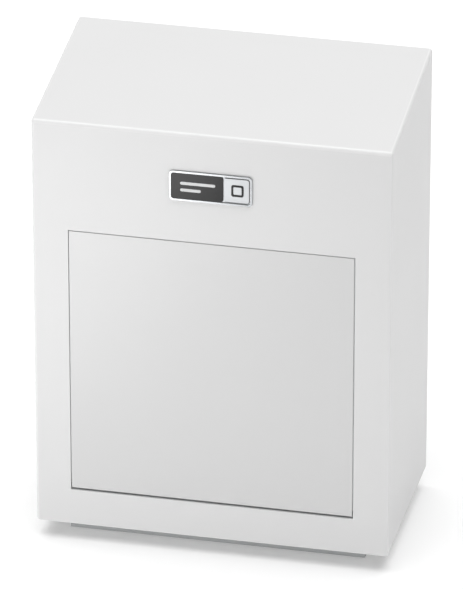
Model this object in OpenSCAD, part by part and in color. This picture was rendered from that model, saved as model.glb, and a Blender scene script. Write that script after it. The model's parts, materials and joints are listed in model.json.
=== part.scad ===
// Wall-mounted radial ventilation unit: folded steel hood, tip-down service panel, filter drawer in the plinth.
// X runs to the right seen from the front, Y runs towards the wall, Z is up.
// The origin is on the underside, in the middle of the overall width and depth.

/* [Casing] */
// Width of the casing
casing_w = 350; // [340:5:420]
// Depth of the casing, from its front face to the wall
casing_d = 190; // [186:2:230]
// Height of the front face
front_h = 430; // [425:5:480]
// Height of the casing at the wall
rear_h = 455; // [440:5:520]
// Thickness of the folded steel sheet
sheet = 1.5; // [1:0.25:2]
// How far the back plate sits in from the wall
wall_recess = 4; // [3:0.5:6]

/* [Plinth and filter drawer] */
// How far the plinth hangs below the casing
plinth_drop = 18; // [17:1:30]
// How far the plinth stands in from each side
plinth_inset = 28; // [26:1:40]
// How far the plinth stands back from the front face
plinth_setback = 25; // [20:1:40]

/* [Service panel] */
// Width and height of the service panel
panel_size = 278; // [270:1:280]
// Height of the panel's lower edge above the casing's lower edge
panel_rise = 38.5; // [36:0.5:44]
// Gap all round the panel
panel_gap = 1; // [1:0.25:2]
// Radius of the rolled lower edge, which turns about the hinge line
roll_r = 4; // [4:0.5:5]

/* [Badge] */
// Width of the badge
badge_w = 81; // [60:1:100]
// Height of the badge
badge_h = 31; // [24:1:40]
// How far the badge stands proud of the front face
badge_t = 1.5; // [1:0.25:2]
// Distance from the top of the front face to the middle of the badge
badge_down = 54; // [40:1:60]

/* [Fan] */
// Radius of the impeller
impeller_r = 70; // [66:1:74]
// Number of blades
blades = 36; // [24:2:40]
// Sideways place of the fan's axis
fan_x = -40; // [-45:1:-35]
// Height of the fan's axis
fan_z = 190; // [185:1:195]

/* [Duct spigot] */
// Outside radius of the duct spigot
spigot_r = 49.5; // [45:0.5:50]
// How far the spigot reaches past the wall plane
spigot_out = 38.5; // [30:0.5:60]
// Height of the spigot's axis
spigot_z = 365; // [362:1:368]

/* [Hidden] */
$fn = 64;
eps = 0.01;

white = "#ececea";
steel = "#c3c6c8";
black = "#26282a";
foam = "#45484b";

// Casing
overall_d = badge_t + casing_d + spigot_out;
front_y = badge_t - overall_d / 2;
wall_y = front_y + casing_d;
hood_z = plinth_drop;
half_w = casing_w / 2;
inner_w = casing_w - 2 * sheet;
roof_slope = (rear_h - front_h) / casing_d;
roof_drop = sheet * sqrt(1 + roof_slope * roof_slope);
flange = 15;
plate_y = wall_y - wall_recess - sheet;
plate_rear = plate_y + sheet;
tray_z = hood_z + sheet;
floor_z = tray_z + sheet;
function roof_z(y) = hood_z + front_h + (y - front_y) * roof_slope;
function roof_inside(y) = roof_z(y) - roof_drop;

// Service panel and its rebate
opening = panel_size + 2 * panel_gap;
panel_z = hood_z + panel_rise;
panel_mid = panel_z + panel_size / 2;
panel_top = panel_z + panel_size;
hinge_y = front_y + roll_r;
hinge_z = panel_z + roll_r;
skin = 1.2;
panel_d = 12;
lip = 10;
rebate_d = 14;
window = 234;
seal_outer = 276;
seal_inner = 260;
pin_r = 1.5;
pin_head_r = 2.3;
running = 0.05;
leaf_out = panel_size / 2 - 0.2;
leaf_in = leaf_out - 20;
latch_x = 70;
latch_z = panel_mid + 123.5;
plunger_r = 4;
plunger_tip = front_y + 5.3;
plunger_back = front_y + 30;
housing_back = front_y + 46;
spring_back = housing_back - 2;

// Fan
scroll_front = -5;
scroll_back = 61;
tongue_r = impeller_r + 6;
scroll_end_r = impeller_r + 42;
tongue_a = 60;
outlet_top = 300;
inlet_r = 56;
blade_in_r = impeller_r - 12;
rotor_r = 35;
shaft_r = 4;
bearing_r = 11;
mount_offset = [60, 50];  // rubber mounts, across and up from the fan's axis

// Outlet
duct_x = [-64, 80];
duct_z = [outlet_top, 426];
spigot_front = 56;
spigot_wall = 1.2;
spigot_in = spigot_r - spigot_wall;
collar_r = spigot_r + 1.5;  // thicker stretch of the spigot, from its front to the back of the plate
spigot_end = wall_y + spigot_out;
axle_y = 64;
axle_r = 1.5;
flap_r = spigot_in - 0.8;
flap_t = 1;
knuckle_r = 3;
flap_gap = 3.5;

// Plinth and drawer
plinth_x = half_w - plinth_inset;
plinth_y = front_y + plinth_setback;
plinth_back = 60;
plinth_t = 2;
front_t = 3;
drawer_x = plinth_x - 5.5;
drawer_y = plinth_y + front_t;
drawer_back = plinth_back - plinth_t - 4;
drawer_z = [3.5, 17];
intake = [236, 108];  // width and depth of the air intake
intake_y = -10;

// Electrics
box_x = [84, 148];
box_z = [76, 176];
box_y = 33;
entry = [116, 110];  // place of the cable entry, across and up
capacitor = [112, 51];  // place of the capacitor, across and deep
lead_r = 2.5;
lead_route = [
  [86, 66.5, 165], [72, 66.5, 165], [60, 66.5, 168], [45, 66.5, 171], [30, 66.5, 174],
  [15, 66.5, 177], [0, 66.5, 180], [-12, 66.5, 183], [-17, 66, 184.5], [-20, 64, 186],
  [-20.5, 61, 186], [-20.5, 58, 186], [-20.5, 55, 186],
];
wall_holes = [158, 60, 420];  // sideways place, height of the lower pair, height of the upper pair

// A 2-D outline in X and Z, made solid from y to y + depth
module slab(y, depth) translate([0, y + depth, 0]) rotate([90, 0, 0]) linear_extrude(depth) children();

// A 2-D outline in Y and Z, made solid from x to x + width
module profile(x, width) translate([x, 0, 0]) rotate([90, 0, 90]) linear_extrude(width) children();

// A square ring round the panel's centre
module square_ring(outer, inner, y, depth)
  translate([0, 0, panel_mid])
    slab(y, depth)
      difference() {
        square(outer, center = true);
        square(inner, center = true);
      }

// A solid of revolution about an axis along Y; its outline holds [radius, y]
module turned_y(x, z, points) translate([x, 0, z]) rotate([-90, 0, 0]) rotate_extrude() polygon(points);

// A cylinder along Y
module rod_y(x, y, z, r, length) translate([x, y, z]) rotate([-90, 0, 0]) cylinder(r = r, h = length);

// A cylinder along X
module rod_x(x, y, z, r, length) translate([x, y, z]) rotate([0, 90, 0]) cylinder(r = r, h = length);

// A ring along Y
module ring_y(x, y, z, outer, inner, length)
  translate([x, 0, z])
    slab(y, length)
      difference() {
        circle(r = outer);
        circle(r = inner);
      }

// A box from its two corners
module block(a, b) translate(a) cube(b - a);

// A rectangle with rounded corners, centred
module rounded(w, h, r) {
  square([w - 2 * r, h], center = true);
  square([w, h - 2 * r], center = true);
  for (x = [-1, 1], z = [-1, 1]) translate([x * (w / 2 - r), z * (h / 2 - r)]) circle(r = r);
}

// A pan-head screw whose shank points along +Y, with a cross recess
module screw_y(x, y, z, head_r, shank_r, length) {
  difference() {
    rod_y(x, y - 2, z, head_r, 2);
    block([x - head_r * 0.6, y - 2 - eps, z - 0.4], [x + head_r * 0.6, y - 1.2, z + 0.4]);
    block([x - 0.4, y - 2 - eps, z - head_r * 0.6], [x + 0.4, y - 1.2, z + head_r * 0.6]);
  }
  rod_y(x, y - eps, z, shank_r, length);
}

// A coil of wire along Z, made of short straight facets
module coil(radius, wire, height, turns, sides = 6, steps = 10) {
  rings = turns * steps;
  function at(i) = [radius * cos(360 * i / steps), radius * sin(360 * i / steps), wire + (height - 2 * wire) * i / rings];
  function ring(i) = [
    for (s = [0:sides - 1])
      at(i) + wire * cos(360 * s / sides) * [cos(360 * i / steps), sin(360 * i / steps), 0]
            + wire * sin(360 * s / sides) * [0, 0, 1]
  ];
  polyhedron(
    points = [for (i = [0:rings]) each ring(i)],
    faces = concat(
      [[for (s = [0:sides - 1]) s]],
      [for (i = [0:rings - 1], s = [0:sides - 1]) each [
        [i * sides + s, (i + 1) * sides + s, (i + 1) * sides + (s + 1) % sides],
        [i * sides + s, (i + 1) * sides + (s + 1) % sides, i * sides + (s + 1) % sides],
      ]],
      [[for (s = [sides - 1:-1:0]) rings * sides + s]]
    )
  );
}

// A round cable swept along a route
module swept(route, r, sides = 10) {
  last = len(route) - 1;
  function unit(v) = v / norm(v);
  function heading(i) = unit(route[min(i + 1, last)] - route[max(i - 1, 0)]);
  function side(i) = unit(cross(heading(i), [0, 0, 1]));
  function ring(i) = [
    for (s = [0:sides - 1])
      route[i] + r * (cos(360 * s / sides) * side(i) + sin(360 * s / sides) * cross(side(i), heading(i)))
  ];
  polyhedron(
    points = [for (i = [0:last]) each ring(i)],
    faces = concat(
      [[for (s = [sides - 1:-1:0]) s]],
      [for (i = [0:last - 1], s = [0:sides - 1]) each [
        [i * sides + s, i * sides + (s + 1) % sides, (i + 1) * sides + (s + 1) % sides],
        [i * sides + s, (i + 1) * sides + (s + 1) % sides, (i + 1) * sides + s],
      ]],
      [[for (s = [0:sides - 1]) last * sides + s]]
    )
  );
}

// ---------------------------------------------------------------- casing

// Screw places round the hood's bottom flange
module at_casing_screws()
  for (x = [-1, 1], y = [front_y + 40, 0, 50]) translate([x * (half_w - 8), y, 0]) children();

// Hood: front, sides and sloping roof in one folded sheet, with a flange turned in below
module hood() color(white) {
  difference() {
    profile(-half_w, casing_w)
      polygon([
        [front_y, hood_z], [wall_y, hood_z], [wall_y, roof_z(wall_y)], [front_y, roof_z(front_y)],
      ]);
    profile(-inner_w / 2, inner_w)
      polygon([
        [front_y + sheet, hood_z + sheet], [wall_y + 1, hood_z + sheet],
        [wall_y + 1, roof_inside(wall_y + 1)], [front_y + sheet, roof_inside(front_y + sheet)],
      ]);
    block([-half_w + flange, front_y + flange, hood_z - 1], [half_w - flange, wall_y + 1, hood_z + sheet + eps]);
    translate([0, 0, panel_mid]) slab(front_y - 1, sheet + 2) square(opening, center = true);
    at_casing_screws() translate([0, 0, hood_z - 1]) cylinder(r = 2.2, h = sheet + 2);
  }
}

// Panel frame: folded rebate behind the hood's opening, which carries the seal, the hinge pins and the latches
module panel_frame() color(white) {
  difference() {
    union() {
      square_ring(opening + 20, opening, front_y + sheet, sheet);
      square_ring(opening + 2 * sheet, opening, front_y + sheet, rebate_d);
      square_ring(opening + 2 * sheet, window, front_y + rebate_d, sheet);
    }
    for (x = [-1, 1]) {
      rod_x(x * (opening / 2 + 1) - 3, hinge_y, hinge_z, pin_r, 6);
      rod_x(x * (opening / 2 + sheet + 1.5) - 1.5, hinge_y, hinge_z, pin_head_r + 0.2, 3);
      rod_y(x * latch_x, front_y + rebate_d - 1, latch_z, plunger_r + 0.5, sheet + 2);
    }
  }
}

// Back plate: tray that hangs on the wall, with its flanges inside the hood
module back_plate() color(steel) {
  difference() {
    profile(-inner_w / 2, inner_w)
      polygon([
        [plate_y - 14, floor_z], [plate_rear, floor_z],
        [plate_rear, roof_inside(plate_rear)], [plate_y - 14, roof_inside(plate_y - 14)],
      ]);
    profile(-inner_w / 2 + sheet, inner_w - 2 * sheet)
      polygon([
        [plate_y - 15, floor_z - 1], [plate_y, floor_z - 1],
        [plate_y, roof_inside(plate_y) - roof_drop], [plate_y - 15, roof_inside(plate_y - 15) - roof_drop],
      ]);
    rod_y(0, plate_y - 1, spigot_z, collar_r, sheet + 2);
    for (x = [-1, 1], z = [wall_holes[1], wall_holes[2]]) rod_y(x * wall_holes[0], plate_y - 1, z, 3.5, sheet + 2);
    rod_y(entry[0], plate_y - 1, entry[1], 8, sheet + 2);
    at_mounts() rod_y(0, plate_y - 1, 0, 2.5, sheet + 2);
    at_spigot_screws() rod_y(0, plate_y - 1, 0, 1.5, sheet + 2);
  }
}

// Base tray: floor of the fan chamber, with the air intake cut out
module base_tray() color(white) {
  difference() {
    block([-inner_w / 2, front_y + sheet, tray_z], [inner_w / 2, plate_rear, floor_z]);
    translate([0, intake_y, tray_z - 1])
      linear_extrude(sheet + 2)
        difference() {
          square(intake, center = true);
          square([6, intake[1] + 2], center = true);
        }
    at_casing_screws() translate([0, 0, tray_z - 1]) cylinder(r = 1.8, h = sheet + 2);
  }
  for (x = [-1, 1])
    translate([x * (inner_w / 2 - sheet / 2), 0, 0])
      block([-sheet / 2, front_y + sheet, floor_z - eps], [sheet / 2, plate_y - 16, floor_z + 10]);
  block([-inner_w / 2, front_y + sheet, floor_z - eps], [inner_w / 2, front_y + 2 * sheet, floor_z + 10]);
}

// Six screws from below, through the hood's flange into the base tray
module casing_screws() color("silver")
  at_casing_screws() {
    difference() {
      translate([0, 0, hood_z - 2]) cylinder(r = 3.6, h = 2);
      for (a = [0, 90]) rotate(a) block([-2, -0.4, hood_z - 2 - eps], [2, 0.4, hood_z - 1.1]);
    }
    translate([0, 0, hood_z - eps]) cylinder(r = 1.8, h = 8);
  }

// Plinth: three walls under the base tray; the drawer's front closes the fourth side
module intake_plinth() color(steel)
  difference() {
    block([-plinth_x, drawer_y + 0.3, 0], [plinth_x, plinth_back, tray_z]);
    block([-plinth_x + plinth_t, drawer_y - 1, -1], [plinth_x - plinth_t, plinth_back - plinth_t, tray_z + 1]);
  }

// Two ledges that carry the drawer
module drawer_runners() color("gray")
  for (x = [-1, 1])
    profile(x > 0 ? drawer_x - 7 : -plinth_x + plinth_t, plinth_x - plinth_t - drawer_x + 7)
      polygon([
        [drawer_y + 1, 1.2], [plinth_back - plinth_t, 1.2],
        [plinth_back - plinth_t, drawer_z[0] - 0.2], [drawer_y + 1, drawer_z[0] - 0.2],
      ]);

// Foam seal that the panel closes on
module panel_seal() color(black) square_ring(seal_outer, seal_inner, front_y + panel_d, rebate_d - panel_d);

// Sound lining: foam on the sides, under the roof and behind the front
module acoustic_lining() color(foam) {
  t = 8;
  for (x = [-1, 1])
    profile(x > 0 ? inner_w / 2 - sheet - t : -inner_w / 2 + sheet, t)
      polygon([
        [front_y + 22, floor_z + 12], [plate_y - 16, floor_z + 12],
        [plate_y - 16, roof_inside(plate_y - 16) - 12], [front_y + 22, roof_inside(front_y + 22) - 12],
      ]);
  profile(-155, 310)
    polygon([
      [front_y + 22, roof_inside(front_y + 22) - t], [plate_y - 16, roof_inside(plate_y - 16) - t],
      [plate_y - 16, roof_inside(plate_y - 16)], [front_y + 22, roof_inside(front_y + 22)],
    ]);
  block([-155, front_y + sheet, panel_top + 18], [155, front_y + sheet + t, roof_inside(front_y) - 4]);
}

// ---------------------------------------------------------------- badge

badge_z = hood_z + front_h - badge_down;
rim = 2;
rim_corner = 4.2;
field_corner = 2.8;
field_w = badge_w - 2 * rim;
field_h = badge_h - 2 * rim;
split_x = -field_w / 2 + field_w * 0.675;

// Right or left part of the badge's field
module badge_part(left, right, depth)
  translate([0, 0, badge_z])
    slab(front_y - depth, depth)
      intersection() {
        rounded(field_w, field_h, field_corner);
        translate([left, -field_h / 2]) square([right - left, field_h]);
      }

// Bright rim with a thin backing
module badge_bezel() color("silver")
  translate([0, 0, badge_z])
    slab(front_y - badge_t, badge_t)
      difference() {
        rounded(badge_w, badge_h, rim_corner);
        rounded(field_w, field_h, field_corner);
      }

module badge_dark_field() color("#202225") badge_part(-field_w / 2, split_x, badge_t - 0.5);

module badge_light_field() color("#d6d8da") badge_part(split_x, field_w / 2, badge_t - 0.5);

// Plain raised marks: a long bar over a short one, and a small frame
module badge_marks() color("#f2f2f2")
  translate([0, 0, badge_z])
    slab(front_y - badge_t + 0.1, 0.4) {
      dark_x = (-field_w / 2 + split_x) / 2;
      light_x = (split_x + field_w / 2) / 2;
      translate([dark_x, 3]) rounded(34, 3, 1.4);
      translate([dark_x - 7, -4]) rounded(20, 3, 1.4);
      translate([light_x, 0])
        difference() {
          rounded(12, 12, 2);
          rounded(8, 8, 1);
        }
    }

// ---------------------------------------------------------------- service panel

// Panel: tray of painted sheet, rolled at its lower edge round the hinge line
module front_panel() color(white) {
  half = panel_size / 2;
  back = front_y + panel_d;
  flange_z = hinge_z + 5;
  block([-half, front_y, hinge_z], [half, front_y + skin, panel_top]);
  profile(-half, panel_size)
    intersection() {
      translate([hinge_y, hinge_z])
        difference() {
          circle(r = roll_r);
          circle(r = roll_r - skin);
        }
      translate([hinge_y - 2 * roll_r, hinge_z - 2 * roll_r]) square(2 * roll_r);
    }
  block([-half, hinge_y, panel_z], [half, front_y + 8, panel_z + skin]);
  for (x = [-half, half - skin]) block([x, front_y + skin - eps, flange_z], [x + skin, back, panel_top]);
  block([-half, front_y + skin - eps, panel_top - skin], [half, back, panel_top]);
  difference() {
    block([-half, back - skin, hinge_z + 2], [half, back, panel_top]);
    block([-half + lip, back - skin - 1, hinge_z + 2 + lip], [half - lip, back + 1, panel_top - lip]);
    for (x = [-1, 1]) translate([x * half, 0, 0]) block([-22, back - skin - 1, hinge_z], [22, back + 1, flange_z]);
  }
}

// Foam sheet glued inside the panel
module panel_insulation() color(foam)
  block([-112, front_y + skin, hinge_z + 8], [112, front_y + panel_d - skin - 0.4, panel_mid + 105]);

// Two hinge leaves with their knuckles
module hinge_leaves() color(steel)
  for (side = [-1, 1])
    difference() {
      union() {
        rod_x(side > 0 ? leaf_in : -leaf_out, hinge_y, hinge_z, roll_r - skin - 0.1, leaf_out - leaf_in);
        block(
          [side > 0 ? leaf_in : -leaf_out + 2, front_y + skin, hinge_z],
          [side > 0 ? leaf_out - 2 : -leaf_in, front_y + skin + 1, hinge_z + 22]
        );
      }
      rod_x(side > 0 ? leaf_in - 1 : -leaf_out - 1, hinge_y, hinge_z, pin_r + running, leaf_out - leaf_in + 2);
    }

// Two pins that the panel turns on, with their heads outside the panel frame
module hinge_pins() color("silver")
  for (side = [-1, 1])
    mirror([side > 0 ? 0 : 1, 0, 0]) {
      rod_x(leaf_in + 2, hinge_y, hinge_z, pin_r, opening / 2 + sheet - leaf_in - 2 + eps);
      rod_x(opening / 2 + sheet, hinge_y, hinge_z, pin_head_r, 2);
    }

// Two strike plates that the latch plungers push on
module latch_strikers() color(steel)
  for (x = [-latch_x, latch_x]) {
    block([x - 10, front_y + 3.5, latch_z - 6], [x + 10, front_y + 5, latch_z + 6]);
    for (leg = [x - 10, x + 8.5]) block([leg, front_y + skin, latch_z - 6], [leg + 1.5, front_y + 3.5 + eps, latch_z + 6]);
  }

// Two latch housings on the back of the panel frame
module latch_housings() color(black)
  for (x = [-latch_x, latch_x]) {
    difference() {
      rod_y(x, front_y + rebate_d + sheet, latch_z, 7, housing_back - front_y - rebate_d - sheet);
      rod_y(x, front_y, latch_z, plunger_r + running, spring_back - front_y);
    }
    difference() {
      block([x - 12, front_y + rebate_d + sheet, latch_z - 5.5], [x + 12, front_y + rebate_d + 2 * sheet, latch_z + 5.5]);
      rod_y(x, front_y, latch_z, 6.9, 40);
    }
  }

// Plunger with a domed tip
module latch_plunger(x) {
  rod_y(x, plunger_tip + 2, latch_z, plunger_r, plunger_back - plunger_tip - 2);
  turned_y(x, latch_z, [
    [0, plunger_tip], [2, plunger_tip], for (a = [0:15:90]) [2 + 2 * sin(a), plunger_tip + 2 - 2 * cos(a)],
    [plunger_r, plunger_tip + 2.1], [0, plunger_tip + 2.1],
  ]);
}

module latch_plunger_left() color("silver") latch_plunger(-latch_x);

module latch_plunger_right() color("silver") latch_plunger(latch_x);

// Spring behind each plunger
module latch_springs() color("silver")
  for (x = [-latch_x, latch_x])
    translate([x, plunger_back, latch_z]) rotate([-90, 0, 0]) coil(3, 0.4, spring_back - plunger_back, 6);

// ---------------------------------------------------------------- filter drawer

// Front of the drawer: it slides out under the hood's flange, and its lower edge is the finger lip
module drawer_front() color("gray") block([-plinth_x, plinth_y, 0.8], [plinth_x, drawer_y, hood_z - 0.3]);

// Frame of the drawer
module drawer_frame() color(black)
  difference() {
    block([-drawer_x, drawer_y, drawer_z[0]], [drawer_x, drawer_back, drawer_z[1]]);
    block([-drawer_x + 3, drawer_y + 3, drawer_z[0] + 1.5], [drawer_x - 3, drawer_back - 3, drawer_z[1] + 1]);
    block([-drawer_x + 8, drawer_y + 8, 0], [drawer_x - 8, drawer_back - 8, drawer_z[1] + 1]);
  }

// Slatted grille on the drawer's underside
module filter_grille() color("gray") {
  slats = 16;
  x0 = -drawer_x + 8;
  y0 = drawer_y + 8;
  length = drawer_back - drawer_y - 16;
  for (i = [1:slats - 1])
    translate([0, y0 + length * i / slats, 0]) block([x0, -1.5, drawer_z[0] + 0.2], [-x0, 1.5, drawer_z[0] + 1.4]);
  for (x = [x0, -3, -x0 - 6]) block([x, y0, drawer_z[0] + 0.2], [x + 6, y0 + length, drawer_z[0] + 1.4]);
}

// Pleated filter mat on top of the drawer's ledge
module filter_mat() color("#dfe3e6") {
  pleats = 34;
  pitch = (2 * drawer_x - 8) / pleats;
  x0 = -drawer_x + 4;
  low = drawer_z[0] + 1.7;
  high = drawer_z[1] - 1.5;
  up = [for (i = [0:pleats]) each [[x0 + i * pitch, low], if (i < pleats) [x0 + (i + 0.5) * pitch, high]]];
  down = [for (i = [pleats:-1:0]) each [if (i < pleats) [x0 + (i + 0.5) * pitch, high + 1], [x0 + i * pitch, low + 1]]];
  slab(drawer_y + 4, drawer_back - drawer_y - 8) polygon(concat(up, down));
}

// ---------------------------------------------------------------- fan

// Outline of the scroll, grown by g: a spiral that runs into a straight mouth on the right
module scroll_outline(g) {
  grow = (scroll_end_r - tongue_r) / (360 - tongue_a);
  tongue = tongue_r * [cos(tongue_a), sin(tongue_a)];
  spiral = [for (a = [tongue_a:6:360]) (tongue_r + grow * (a - tongue_a) + g) * [cos(a), sin(a)]];
  translate([fan_x, fan_z]) {
    polygon(concat([[0, 0]], spiral));
    square([scroll_end_r + g, tongue[1]]);
    translate([tongue[0] - g, 0]) square([scroll_end_r - tongue[0] + 2 * g, outlet_top - fan_z]);
  }
}

module at_mounts()
  for (x = [-1, 1], z = [-1, 1]) translate([fan_x + x * mount_offset[0], 0, fan_z + z * mount_offset[1]]) children();

module at_motor_screws()
  for (a = [45:90:315]) translate([fan_x + 24 * cos(a), 0, fan_z + 24 * sin(a)]) children();

module at_cover_screws()
  for (a = [96, 138, 180, 222, 264, 306, 342]) {
    r = tongue_r + (scroll_end_r - tongue_r) * (a - tongue_a) / (360 - tongue_a) + 7;
    translate([fan_x + r * cos(a), 0, fan_z + r * sin(a)]) children();
  }

// Scroll: back wall, spiral wall and a front rim for the cover
module scroll_housing() color("#7f8488")
  difference() {
    union() {
      difference() {
        slab(scroll_front, scroll_back + sheet - scroll_front) scroll_outline(sheet);
        slab(scroll_front - 1, scroll_back + 1 - scroll_front) scroll_outline(0);
        block([fan_x + tongue_r * cos(tongue_a), scroll_front - 1, outlet_top - 1],
              [fan_x + scroll_end_r, scroll_back, outlet_top + 1]);
      }
      difference() {
        slab(scroll_front, 2) scroll_outline(12);
        slab(scroll_front - 1, 4) scroll_outline(0);
        block([duct_x[0] - 9, scroll_front - 1, outlet_top - 14], [duct_x[1] + 9, scroll_front + 3, outlet_top + 1]);
      }
    }
    at_mounts() rod_y(0, scroll_back - 1, 0, 2.5, sheet + 2);
    at_motor_screws() rod_y(0, scroll_back - 1, 0, 1.8, sheet + 2);
    at_cover_screws() rod_y(0, scroll_front - 1, 0, 1.4, 4);
    rod_y(-20.5, scroll_back - 1, 186, 4, sheet + 2);
  }

// Cover of the scroll with the inlet hole
module scroll_cover() color("#8d9296")
  difference() {
    slab(scroll_front - sheet, sheet) scroll_outline(12);
    block([duct_x[0] - 9, scroll_front - 3, outlet_top - 14], [duct_x[1] + 9, scroll_front + 1, outlet_top + 1]);
    rod_y(fan_x, scroll_front - 3, fan_z, inlet_r + 2, 5);
    at_cover_screws() rod_y(0, scroll_front - 3, 0, 1.8, 5);
    for (a = [45:90:315])
      translate([fan_x + 68 * cos(a), 0, fan_z + 68 * sin(a)]) rod_y(0, scroll_front - 3, 0, 1.5, 5);
  }

module cover_screws() color("silver") at_cover_screws() screw_y(0, scroll_front - sheet, 0, 3.2, 1.4, 6);

// Bell-mouthed inlet ring
module inlet_ring() color(black) {
  flange_y = scroll_front - sheet;
  turned_y(fan_x, fan_z, [
    [inlet_r + 8, flange_y], [inlet_r + 2, flange_y], [inlet_r + 0.5, flange_y + 1.5], [inlet_r, flange_y + 5],
    [inlet_r, flange_y + 7], [inlet_r - 1.5, flange_y + 7], [inlet_r - 1.5, flange_y + 4],
    for (a = [0:15:90]) [inlet_r + 2.5 - 4 * cos(a), flange_y + 2 - 6 * sin(a)],
    [inlet_r + 8, flange_y - 4],
  ]);
}

// Wire guard over the inlet
module finger_guard() color("silver") {
  guard_y = scroll_front - 14;
  for (r = [14, 26, 38, 50, 62])
    translate([fan_x, guard_y, fan_z]) rotate([-90, 0, 0]) rotate_extrude() translate([r, 0]) circle(r = 0.9, $fn = 24);
  for (a = [45:90:315])
    translate([fan_x, guard_y - 1.6, fan_z])
      rotate([0, a, 0]) {
        rod_x(13.4, 0, 0, 0.9, 54.6);
        rod_y(68, 0, 0, 1.5, 14 - sheet + 4);
      }
}

// Motor plate with the bearing tube
module motor_plate() color("silver")
  difference() {
    union() {
      rod_y(fan_x, scroll_back - 2.5, fan_z, 31, 2.5);
      rod_y(fan_x, 17, fan_z, bearing_r + 2, scroll_back - 18);
    }
    rod_y(fan_x, 10, fan_z, bearing_r, scroll_back);
    at_motor_screws() rod_y(0, scroll_back - 4, 0, 1.8, 6);
    rod_y(-20.5, scroll_back - 4, 186, 4, 6);
  }

// Laminated core with its slots
module motor_stator() color("#5b5f63") {
  slots = 12;
  translate([fan_x, 0, fan_z])
    slab(28, 20)
      difference() {
        circle(r = 31.5);
        circle(r = bearing_r + 2);
        for (i = [0:slots - 1]) rotate(i * 360 / slots) translate([17, -1.5]) square([20, 3]);
      }
}

// Copper end turns on both faces of the core
module motor_windings() color("#a8602c")
  for (y = [22.5, 48])
    turned_y(fan_x, fan_z, [[17, y], [28, y], [29.5, y + 1.5], [29.5, y + 4], [28, y + 5.5], [17, y + 5.5]]);

// Two ball bearings in the tube
module shaft_bearings() color("silver")
  for (y = [18, 50]) {
    ring_y(fan_x, y, fan_z, bearing_r, bearing_r - 2, 7);
    ring_y(fan_x, y, fan_z, shaft_r + 2, shaft_r + 0.03, 7);
    ring_y(fan_x, y + 1, fan_z, bearing_r - 2, shaft_r + 2, 5);
  }

module motor_screws() color("silver") at_motor_screws() screw_y(0, scroll_back - 2.5, 0, 3.4, 1.8, 6);

// Rotor cup that turns round the stator
module motor_rotor() color("#3a3d40")
  turned_y(fan_x, fan_z, [
    [shaft_r, 10], [8, 10], [8, 12], [rotor_r - 2, 12], [rotor_r, 14], [rotor_r, 54],
    [rotor_r - 2.5, 54], [rotor_r - 2.5, 14.5], [8, 14.5], [8, 16], [shaft_r, 16],
  ]);

module motor_shaft() color("silver")
  turned_y(fan_x, fan_z, [[0, 8], [shaft_r - 0.5, 8], [shaft_r, 8.5], [shaft_r, 58], [0, 58]]);

// Forward-curved impeller: back disc, blades and front ring
module impeller() color("#33373b") {
  bend = 16;
  back = 49.5;
  turned_y(fan_x, fan_z, [
    [rotor_r, 40], [rotor_r + 2, 40], [rotor_r + 3, back - 1], [impeller_r, back - 1],
    [impeller_r, back + 1], [rotor_r, back + 1],
  ]);
  translate([fan_x, 0, fan_z])
    slab(3, back - 3.5)
      for (i = [0:blades - 1])
        rotate(i * 360 / blades)
          intersection() {
            translate([blade_in_r + 6, -bend / 2])
              difference() {
                circle(r = bend / 2 + 1.8, $fn = 32);
                circle(r = bend / 2 + 0.6, $fn = 32);
              }
            translate([blade_in_r, 0]) square([11.9, 12]);
          }
  ring_y(fan_x, 1.5, fan_z, impeller_r, impeller_r - 6, 1.7);
}

// Retaining ring that holds the impeller on the rotor cup
module impeller_ring() color("silver")
  translate([fan_x, 0, fan_z])
    slab(38.6, 1.3)
      difference() {
        circle(r = rotor_r + 3);
        circle(r = rotor_r);
        translate([rotor_r - 2, -3]) square([8, 6]);
      }

// Rubber mounts between the scroll and the back plate, with their studs
module rubber_mounts() color(black)
  at_mounts() {
    rod_y(0, scroll_back + sheet, 0, 8, plate_y - scroll_back - sheet);
    rod_y(0, scroll_back - 5, 0, 2.5, 7);
    rod_y(0, plate_y - eps, 0, 2.5, 3);
  }

module mount_nuts() color("silver")
  at_mounts()
    translate([0, scroll_back - 4, 0])
      rotate([-90, 0, 0])
        difference() {
          cylinder(r = 4.6, h = 4, $fn = 6);
          translate([0, 0, -1]) cylinder(r = 2.5, h = 6);
        }

// ---------------------------------------------------------------- outlet

module at_spigot_screws()
  for (a = [45:90:315]) translate([54 * cos(a), 0, spigot_z + 54 * sin(a)]) children();

// Outlet duct: box from the scroll's mouth to the back plate
module outlet_duct() color("#a5abae")
  difference() {
    block([duct_x[0], scroll_front - sheet, duct_z[0]], [duct_x[1], plate_y, duct_z[1]]);
    block([duct_x[0] + sheet, scroll_front, duct_z[0] + sheet], [duct_x[1] - sheet, plate_y + 1, duct_z[1] - sheet]);
    block([fan_x + tongue_r * cos(tongue_a), scroll_front, duct_z[0] - 1],
          [fan_x + scroll_end_r, scroll_back, duct_z[0] + sheet + 1]);
  }

// Duct spigot with its flange and the stop rim for the flaps
module duct_spigot() color(black)
  difference() {
    union() {
      ring_y(0, spigot_front, spigot_z, collar_r, spigot_in, plate_rear - spigot_front);
      ring_y(0, plate_rear, spigot_z, spigot_r, spigot_in, spigot_end - plate_rear);
      ring_y(0, plate_y - 2, spigot_z, 58, collar_r - 0.5, 2);
      ring_y(0, axle_y - 2.8, spigot_z, spigot_in + 0.5, spigot_in - 2.3, 2);
    }
    translate([0, axle_y, spigot_z - collar_r - 1]) cylinder(r = axle_r, h = 2 * collar_r + 2);
    at_spigot_screws() rod_y(0, plate_y - 4, 0, 1.5, 6);
  }

module spigot_screws() color("silver") at_spigot_screws() screw_y(0, plate_y - 2, 0, 3, 1.5, 5);

// Axle of the two flaps
module flap_axle() color("silver")
  translate([0, axle_y, spigot_z - collar_r]) cylinder(r = axle_r, h = 2 * collar_r);

knuckles = [[-40, -29], [-26, -15], [15, 26], [29, 40]];

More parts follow.
